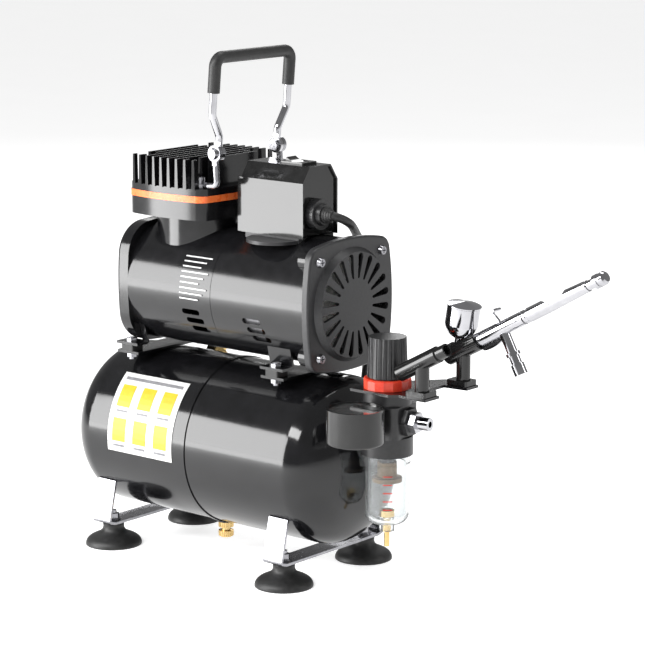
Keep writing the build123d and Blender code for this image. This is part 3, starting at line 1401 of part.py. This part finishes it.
CORD_RADII = bend_radii(CORD_ROUTE)
print("cord radii", [round(r, 1) for r in CORD_RADII])
with BuildPart() as power_cord:
    with BuildLine() as cord_path:
        FilletPolyline(*CORD_ROUTE, radius=CORD_RADII)
    with BuildSketch(plane_at(*CORD_START, (0, 1, 0), (1, 0, 0))):
        Circle(CORD_R)
    sweep()
print("cord length", cord_path.wires()[0].length, "volume", power_cord.part.volume,
      "section x length", math.pi * CORD_R**2 * cord_path.wires()[0].length)
save("power_cord", power_cord.part)

with BuildPart() as cord_coil:
    with BuildSketch(Plane.XY):
        with Locations((COIL_X, COIL_Y)):
            Circle(COIL_MID_R + 2 * CORD_R)
            Circle(COIL_MID_R - 2 * CORD_R, mode=Mode.SUBTRACT)
    extrude(amount=COIL_H)
save("cord_coil", cord_coil.part)

PLUG = plane_at(COIL_X, COIL_Y, 9.0, (0, 1, 0), (1, 0, 0))
with BuildPart() as power_plug:
    with BuildSketch(PLUG.offset(-12.0)):
        RectangleRounded(20.0, 16.0, 4.0)
    extrude(amount=20.0)
    with BuildSketch(PLUG.offset(8.0)):
        with Locations((-6.35, 0), (6.35, 0)):
            Rectangle(1.6, 6.4)
    extrude(amount=16.0)
save("power_plug", power_plug.part)
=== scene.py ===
import json
import math

import bpy
from mathutils import Matrix, Vector


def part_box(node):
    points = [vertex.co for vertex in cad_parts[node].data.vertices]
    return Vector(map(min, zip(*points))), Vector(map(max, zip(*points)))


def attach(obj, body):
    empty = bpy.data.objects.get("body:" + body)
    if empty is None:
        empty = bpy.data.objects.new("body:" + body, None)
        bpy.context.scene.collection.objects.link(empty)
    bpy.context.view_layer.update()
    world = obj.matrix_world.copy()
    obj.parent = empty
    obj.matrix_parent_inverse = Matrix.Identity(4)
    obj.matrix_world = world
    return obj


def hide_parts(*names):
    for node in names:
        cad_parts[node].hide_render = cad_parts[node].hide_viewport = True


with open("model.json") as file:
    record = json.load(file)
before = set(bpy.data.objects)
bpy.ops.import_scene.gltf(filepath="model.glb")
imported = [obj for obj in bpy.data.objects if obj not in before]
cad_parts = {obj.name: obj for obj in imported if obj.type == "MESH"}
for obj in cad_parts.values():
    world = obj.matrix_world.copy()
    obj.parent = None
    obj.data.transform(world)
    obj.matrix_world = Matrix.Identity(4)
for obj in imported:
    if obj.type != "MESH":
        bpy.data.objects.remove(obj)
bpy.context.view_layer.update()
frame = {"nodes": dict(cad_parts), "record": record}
NODES = frame["nodes"]
SMOOTH_ANGLE = math.radians(32)


# ---------------------------------------------------------------- materials
def finish_of(name, dark, light, rough, metallic=0.0, grain=220.0, bump=0.0, stretch=(1, 1, 1)):
    """A surface whose colour and gloss wander slightly between two values."""
    mat = bpy.data.materials.new(name)
    mat.use_nodes = True
    tree = mat.node_tree
    shader = tree.nodes["Principled BSDF"]
    coords = tree.nodes.new("ShaderNodeTexCoord")
    mapping = tree.nodes.new("ShaderNodeMapping")
    mapping.inputs["Scale"].default_value = stretch
    noise = tree.nodes.new("ShaderNodeTexNoise")
    noise.inputs["Scale"].default_value = grain
    noise.inputs["Detail"].default_value = 4.0
    tint = tree.nodes.new("ShaderNodeValToRGB")
    tint.color_ramp.elements[0].position = 0.3
    tint.color_ramp.elements[0].color = (*dark, 1)
    tint.color_ramp.elements[1].position = 0.7
    tint.color_ramp.elements[1].color = (*light, 1)
    gloss = tree.nodes.new("ShaderNodeMapRange")
    gloss.inputs["To Min"].default_value = rough[0]
    gloss.inputs["To Max"].default_value = rough[1]
    tree.links.new(coords.outputs["Object"], mapping.inputs["Vector"])
    tree.links.new(mapping.outputs["Vector"], noise.inputs["Vector"])
    tree.links.new(noise.outputs["Fac"], tint.inputs["Fac"])
    tree.links.new(noise.outputs["Fac"], gloss.inputs["Value"])
    tree.links.new(tint.outputs["Color"], shader.inputs["Base Color"])
    tree.links.new(gloss.outputs["Result"], shader.inputs["Roughness"])
    shader.inputs["Metallic"].default_value = metallic
    if bump:
        relief = tree.nodes.new("ShaderNodeBump")
        relief.inputs["Strength"].default_value = bump
        relief.inputs["Distance"].default_value = 0.0003
        tree.links.new(noise.outputs["Fac"], relief.inputs["Height"])
        tree.links.new(relief.outputs["Normal"], shader.inputs["Normal"])
    return mat


def see_through(name, dark, light, weight, rough):
    """A clear moulding with faint waviness."""
    mat = finish_of(name, dark, light, rough, grain=60.0)
    shader = mat.node_tree.nodes["Principled BSDF"]
    shader.inputs["Transmission Weight"].default_value = weight
    shader.inputs["IOR"].default_value = 1.45
    return mat


BLACK = (0.004, 0.004, 0.0045)
SLOTS = {
    "tank_black": finish_of("tank_black", BLACK, (0.007, 0.007, 0.008), (0.09, 0.14), grain=90, bump=0.04),
    "motor_black": finish_of("motor_black", BLACK, (0.008, 0.008, 0.009), (0.12, 0.19),
                             grain=120, bump=0.05),
    "cover_black": finish_of("cover_black", (0.016, 0.016, 0.017), (0.024, 0.024, 0.026), (0.36, 0.46),
                             grain=400, bump=0.12),
    "plated_steel": finish_of("plated_steel", (0.27, 0.27, 0.29), (0.38, 0.38, 0.40), (0.20, 0.32), 1.0,
                              grain=160, bump=0.05),
    "chrome": finish_of("chrome", (0.42, 0.42, 0.44), (0.52, 0.52, 0.54), (0.05, 0.11), 1.0, grain=60),
    "brass": finish_of("brass", (0.62, 0.43, 0.17), (0.76, 0.56, 0.26), (0.20, 0.32), 1.0,
                       grain=180, bump=0.04),
    "bronze": finish_of("bronze", (0.16, 0.10, 0.045), (0.36, 0.24, 0.12), (0.5, 0.7), 0.6,
                        grain=1600, bump=0.6),
    "copper_wire": finish_of("copper_wire", (0.42, 0.13, 0.05), (0.62, 0.24, 0.09), (0.25, 0.4), 0.9,
                             grain=500, bump=0.4, stretch=(0.1, 1, 1)),
    "steel_core": finish_of("steel_core", (0.16, 0.16, 0.17), (0.30, 0.30, 0.31), (0.35, 0.5), 1.0,
                            grain=900, bump=0.3, stretch=(4, 0.1, 0.1)),
    "aluminium": finish_of("aluminium", (0.55, 0.56, 0.58), (0.68, 0.69, 0.71), (0.25, 0.38), 1.0, grain=240,
                           bump=0.06),
    "rubber_black": finish_of("rubber_black", (0.010, 0.010, 0.010), (0.020, 0.020, 0.020), (0.42, 0.58),
                              grain=300, bump=0.1),
    "plastic_black": finish_of("plastic_black", (0.011, 0.011, 0.012), (0.020, 0.020, 0.021), (0.30, 0.42),
                               grain=350, bump=0.1),
    "gloss_black": finish_of("gloss_black", (0.008, 0.008, 0.008), (0.013, 0.013, 0.013), (0.08, 0.14),
                             grain=150),
    "plastic_red": finish_of("plastic_red", (0.62, 0.035, 0.018), (0.78, 0.07, 0.03), (0.28, 0.4),
                             grain=250),
    "plate_orange": finish_of("plate_orange", (0.80, 0.13, 0.025), (0.92, 0.20, 0.045), (0.22, 0.34),
                              grain=200),
    "white_plastic": finish_of("white_plastic", (0.74, 0.74, 0.72), (0.84, 0.84, 0.82), (0.3, 0.45),
                               grain=200),
    "gauge_red": finish_of("gauge_red", (0.60, 0.02, 0.015), (0.74, 0.04, 0.03), (0.35, 0.5), grain=300),
    "clear_bowl": see_through("clear_bowl", (0.90, 0.93, 0.94), (0.96, 0.98, 0.98), 0.95, (0.03, 0.08)),
    "clear_lens": see_through("clear_lens", (0.94, 0.95, 0.95), (0.98, 0.99, 0.99), 0.98, (0.02, 0.05)),
}
PAPER = finish_of("label_paper", (0.62, 0.62, 0.61), (0.70, 0.70, 0.69), (0.35, 0.45), grain=300)
LABEL_YELLOW = finish_of("label_yellow", (0.60, 0.36, 0.008), (0.68, 0.42, 0.014), (0.35, 0.45), grain=300)
LABEL_GREY = finish_of("label_grey", (0.16, 0.16, 0.17), (0.24, 0.24, 0.25), (0.4, 0.5), grain=300)
MARK_RED = finish_of("mark_red", (0.60, 0.03, 0.02), (0.72, 0.06, 0.04), (0.35, 0.5), grain=300)
FLOOR_WHITE = finish_of("floor_white", (0.86, 0.86, 0.86), (0.89, 0.89, 0.89), (0.55, 0.7), grain=8)
floor_shader = FLOOR_WHITE.node_tree.nodes["Principled BSDF"]
floor_shader.inputs["Emission Color"].default_value = (1, 1, 1, 1)
floor_shader.inputs["Emission Strength"].default_value = 0.62
floor_shader.inputs["Specular IOR Level"].default_value = 0.1
PRINT_WHITE = finish_of("print_white", (0.55, 0.55, 0.55), (0.68, 0.68, 0.68), (0.4, 0.5), grain=300)


def sharpen(obj):
    """Round faces shade smoothly and real edges stay crisp."""
    for face in obj.data.polygons:
        face.use_smooth = True
    obj.data.set_sharp_from_angle(angle=SMOOTH_ANGLE)


SLOT_OF = {part["node"]: part["material_slot"] for part in frame["record"]["subparts"]}
for node_name, node in NODES.items():
    node.data.materials.clear()
    node.data.materials.append(SLOTS[SLOT_OF[node_name]])
    sharpen(node)


# ---------------------------------------------------------------- helpers for new pieces
def new_mesh(name, verts, faces, material, body="base"):
    mesh = bpy.data.meshes.new(name)
    mesh.from_pydata(verts, [], faces)
    mesh.update()
    obj = bpy.data.objects.new(name, mesh)
    bpy.context.scene.collection.objects.link(obj)
    mesh.materials.append(material)
    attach(obj, body)
    return obj


def turned(name, place, outline, material, steps=48, body="base"):
    """A closed turned piece: outline lists (distance along the local z axis, radius)."""
    verts = []
    for along, radius in outline:
        for step in range(steps):
            angle = 2 * math.pi * step / steps
            verts.append(place @ Vector((radius * math.cos(angle), radius * math.sin(angle), along)))
    faces = []
    for row in range(len(outline) - 1):
        for step in range(steps):
            a = row * steps + step
            b = row * steps + (step + 1) % steps
            faces.append((a, b, b + steps, a + steps))
    faces.append(tuple(reversed(range(steps))))
    faces.append(tuple(range((len(outline) - 1) * steps, len(outline) * steps)))
    obj = new_mesh(name, verts, faces, material, body)
    sharpen(obj)
    return obj


def wrapped(name, axis_z, radius, x0, x1, angle0, angle1, material, lift=0.00025, thick=0.0002, steps=14):
    """A thin sticker on a cylinder lying along X. Angles run from straight up towards the front."""
    inner = radius + lift
    verts = []
    for reach in (inner, inner + thick):
        for step in range(steps + 1):
            angle = angle0 + (angle1 - angle0) * step / steps
            for x in (x0, x1):
                verts.append((x, -reach * math.sin(angle), axis_z + reach * math.cos(angle)))
    layer = 2 * (steps + 1)
    faces = []
    for step in range(steps):
        a = 2 * step
        faces.append((a, a + 2, a + 3, a + 1))
        faces.append((layer + a, layer + a + 1, layer + a + 3, layer + a + 2))
        faces.append((a, layer + a, layer + a + 2, a + 2))
        faces.append((a + 1, a + 3, layer + a + 3, layer + a + 1))
    last = 2 * steps
    faces.append((0, 1, layer + 1, layer))
    faces.append((last, layer + last, layer + last + 1, last + 1))
    return new_mesh(name, verts, faces, material)


# ---------------------------------------------------------------- stickers on tank and motor
TANK_LOW, TANK_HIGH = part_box("tank_shell_right")
TANK_R = (TANK_HIGH[2] - TANK_LOW[2]) / 2
TANK_Z = (TANK_HIGH[2] + TANK_LOW[2]) / 2
LABEL_X0 = -0.076
LABEL_X1 = -0.009
LABEL_TOP = math.acos((0.138 - TANK_Z) / TANK_R)
LABEL_LOW = math.acos((0.081 - TANK_Z) / TANK_R)


def label_row(name, x0, x1, top, low, material, radius=TANK_R, axis_z=TANK_Z, span=(LABEL_TOP, LABEL_LOW)):
    """A printed shape on a label; top and low are shares of the label's height."""
    a0 = span[0] + (span[1] - span[0]) * top
    a1 = span[0] + (span[1] - span[0]) * low
    return wrapped(name, axis_z, radius, x0, x1, a0, a1, material, lift=0.0005, steps=4)


wrapped("tank_label", TANK_Z, TANK_R, LABEL_X0, LABEL_X1, LABEL_TOP, LABEL_LOW, PAPER)
label_row("tank_label_banner", LABEL_X0 + 0.004, LABEL_X1 - 0.004, 0.06, 0.10, LABEL_GREY)
PATCH_W = 0.0135
PATCH_PITCH = 0.0215
for row in range(2):
    top = 0.17 + 0.42 * row
    for column in range(3):
        x0 = LABEL_X0 + 0.005 + PATCH_PITCH * column
        label_row(f"tank_label_patch_{row}_{column}", x0, x0 + PATCH_W, top, top + 0.28, LABEL_YELLOW)
        label_row(f"tank_label_line_{row}_{column}", x0 + 0.001, x0 + PATCH_W - 0.001,
                  top + 0.32, top + 0.345, LABEL_GREY)

MOTOR_Z = 0.20865
PLATE_R = 0.0480
PLATE_SPAN = (math.radians(52), math.radians(100))
for row in range(9):
    label_row(f"rating_print_{row}", -0.0135, 0.013 - 0.004 * (row % 3), 0.06 + 0.10 * row,
              0.085 + 0.10 * row, PRINT_WHITE, radius=PLATE_R, axis_z=MOTOR_Z, span=PLATE_SPAN)

# ---------------------------------------------------------------- gauge dial
NEEDLE_X, NEEDLE_Y = 0.1614, -0.0540
DIAL_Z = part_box("gauge_case")[0][2] + 0.0142
dial_place = Matrix.Translation((NEEDLE_X, NEEDLE_Y, DIAL_Z))
DIAL_R = 0.0183
DIAL_T = 0.0005
TICK_OUTER = 0.0168
TICK_HALF = 0.0003
TICK_TOP = DIAL_T + 0.0002
BLOCK_FACES = [(0, 3, 2, 1), (4, 5, 6, 7), (0, 1, 5, 4), (1, 2, 6, 5), (2, 3, 7, 6), (3, 0, 4, 7)]
turned("gauge_dial", dial_place, [(0, DIAL_R), (DIAL_T, DIAL_R)], PAPER)
for tick in range(21):
    angle = math.radians(-135 + 13.5 * tick)
    inner = TICK_OUTER - (0.0030 if tick % 5 == 0 else 0.0018)
    turn = dial_place @ Matrix.Rotation(angle, 4, "Z")
    corners = [(-TICK_HALF, inner), (TICK_HALF, inner), (TICK_HALF, TICK_OUTER), (-TICK_HALF, TICK_OUTER)]
    low = [turn @ Vector((x, y, DIAL_T)) for x, y in corners]
    high = [turn @ Vector((x, y, TICK_TOP)) for x, y in corners]
    new_mesh(f"gauge_tick_{tick}", low + high, BLOCK_FACES, LABEL_GREY)

# ---------------------------------------------------------------- bowl scale
BOWL_X, BOWL_Y, BOWL_R = 0.1565, -0.011, 0.0160
MARK_LOW = 0.066
MARK_PITCH = 0.0062
MARK_T = 0.0007
for mark in range(5):
    z0 = MARK_LOW + MARK_PITCH * mark
    verts = []
    for reach in (BOWL_R + 0.0001, BOWL_R + 0.0003):
        for step in range(7):
            angle = math.radians(-62 + 4.0 * step)
            for z in (z0, z0 + MARK_T):
                verts.append((BOWL_X + reach * math.cos(angle), BOWL_Y + reach * math.sin(angle), z))
    faces = []
    for step in range(6):
        a = 2 * step
        faces += [(a, a + 1, a + 3, a + 2), (14 + a, 16 + a, 17 + a, 15 + a),
                  (a, a + 2, 16 + a, 14 + a), (a + 1, 15 + a, 17 + a, a + 3)]
    faces += [(0, 14, 15, 1), (12, 13, 27, 26)]
    new_mesh(f"bowl_scale_{mark}", verts, faces, MARK_RED)

# ---------------------------------------------------------------- mains cord
CORD_D = 0.0065
GLAND_EXIT = (0.093, -0.0045, 0.2732)
ROUTE = [
    GLAND_EXIT, (0.0975, -0.0045, 0.2732), (0.1015, -0.002, 0.2722), (0.1038, 0.003, 0.270),
    (0.1035, 0.011, 0.266), (0.0975, 0.0215, 0.2615), (0.089, 0.036, 0.254), (0.081, 0.054, 0.240),
    (0.074, 0.070, 0.214), (0.066, 0.081, 0.178), (0.059, 0.086, 0.138), (0.051, 0.088, 0.098),
    (0.043, 0.091, 0.060), (0.028, 0.096, 0.028), (0.0, 0.103, 0.009), (-0.038, 0.107, 0.0046),
]
COIL_X, COIL_Y = -0.060, 0.142
LAYER = 0.0066
FIRST_Z = CORD_D / 2
OUTER_R = 0.0382
INNER_R = 0.0316
COLUMN_TURNS = 2.8
CROSS_TURNS = 0.16
TURN_POINTS = 32
START_ANGLE = math.atan2(ROUTE[-1][1] - COIL_Y, ROUTE[-1][0] - COIL_X)
START_R = math.hypot(ROUTE[-1][1] - COIL_Y, ROUTE[-1][0] - COIL_X)


def ease(share):
    share = min(max(share, 0.0), 1.0)
    return share * share * (3 - 2 * share)


def layers_up(turns):
    """Whole layers climbed after so many turns, each step taken near the end of its turn."""
    return math.floor(turns) + ease((turns - math.floor(turns) - 0.82) / 0.18)


coil = []
inner_start = COLUMN_TURNS + CROSS_TURNS
inner_end = inner_start + COLUMN_TURNS
for step in range(1, round(inner_end * TURN_POINTS) + 1):
    turns = step / TURN_POINTS
    angle = START_ANGLE - 2 * math.pi * turns
    if turns <= inner_start:
        radius = OUTER_R - (OUTER_R - INNER_R) * ease((turns - COLUMN_TURNS) / CROSS_TURNS)
        radius += (START_R - OUTER_R) * (1 - ease(turns / 0.25))
        height = FIRST_Z + LAYER * min(layers_up(turns), 2)
        height += (ROUTE[-1][2] - FIRST_Z) * (1 - ease(turns / 0.25))
    else:
        radius = INNER_R
        height = FIRST_Z + LAYER * max(2 - layers_up(turns - inner_start), 0)
    coil.append((COIL_X + radius * math.cos(angle), COIL_Y + radius * math.sin(angle), height))

cord_points = ROUTE + coil
curve = bpy.data.curves.new("power_cord_line", "CURVE")
curve.dimensions = "3D"
curve.bevel_depth = CORD_D / 2
curve.bevel_resolution = 6
curve.use_fill_caps = True
spline = curve.splines.new("NURBS")
spline.points.add(len(cord_points) - 1)
for point, place in zip(spline.points, cord_points):
    point.co = (*place, 1)
spline.order_u = 3
spline.use_endpoint_u = True
spline.resolution_u = 6
cord_piece = bpy.data.objects.new("power_cord_line", curve)
bpy.context.scene.collection.objects.link(cord_piece)
curve.materials.append(SLOTS["rubber_black"])
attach(cord_piece, "base")
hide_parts("power_cord", "cord_coil")

RELIEF_START = 0.0925
RELIEF_TURNS = [(0.0, 0.0062), (0.0022, 0.0060), (0.0024, 0.0054), (0.0042, 0.0052), (0.0044, 0.0047),
                (0.0058, 0.0045), (0.0060, 0.0040), (0.0074, 0.0036)]
relief_place = Matrix.Translation((RELIEF_START, ROUTE[0][1], ROUTE[0][2])) @ Matrix.Rotation(
    math.radians(90), 4, "Y")
turned("cord_strain_relief", relief_place, RELIEF_TURNS, SLOTS["rubber_black"])

# ---------------------------------------------------------------- stage, lights and camera
bpy.ops.mesh.primitive_plane_add(size=60, location=(0, 0, 0))
floor = bpy.context.object
floor.name = "studio_floor"
floor.data.materials.append(FLOOR_WHITE)

CENTRE = Vector((0.03, 0.0, 0.19))


def softbox(name, place, size, power, target=CENTRE):
    """A flat soft light. It lights and is mirrored, and the camera doesn't see it."""
    data = bpy.data.lights.new(name, "AREA")
    data.shape = "RECTANGLE"
    data.size, data.size_y = size
    data.energy = power
    lamp = bpy.data.objects.new(name, data)
    lamp.location = place
    lamp.rotation_euler = (target - Vector(place)).to_track_quat("-Z", "Y").to_euler()
    lamp.visible_camera = False
    bpy.context.scene.collection.objects.link(lamp)


softbox("left_panel", (-0.62, -0.80, 0.32), (0.50, 0.62), 11.0, Vector((0, 0, 0.27)))
softbox("front_softbox", (-0.15, -1.3, 1.10), (1.3, 0.34), 22)
softbox("right_softbox", (1.7, 0.9, 1.1), (0.4, 0.9), 7)
softbox("top_softbox", (0.0, 0.5, 1.9), (1.0, 0.5), 10)
softbox("back_softbox", (-1.2, 1.6, 1.2), (0.8, 0.7), 10)

world = bpy.data.worlds.new("studio")
world.use_nodes = True
world.node_tree.nodes["Background"].inputs["Color"].default_value = (1.0, 1.0, 1.0, 1)
world.node_tree.nodes["Background"].inputs["Strength"].default_value = 0.30
bpy.context.scene.world = world
bpy.context.scene.view_settings.view_transform = "Standard"

CAMERA_PLACE = Vector((1.2789, -1.4326, 0.5620))
CAMERA_RIGHT = Vector((0.76848, 0.63988, 0.0))
CAMERA_UP = Vector((-0.12478, 0.14986, 0.98081))
CAMERA_BACK = Vector((0.62760, -0.75373, 0.19501))
camera_data = bpy.data.cameras.new("camera")
camera_data.sensor_width = 36.0
camera_data.lens = 142.9
camera = bpy.data.objects.new("camera", camera_data)
camera.matrix_world = Matrix.Translation(CAMERA_PLACE) @ Matrix(
    (CAMERA_RIGHT, CAMERA_UP, CAMERA_BACK)).transposed().to_4x4()
bpy.context.scene.collection.objects.link(camera)
bpy.context.scene.camera = camera
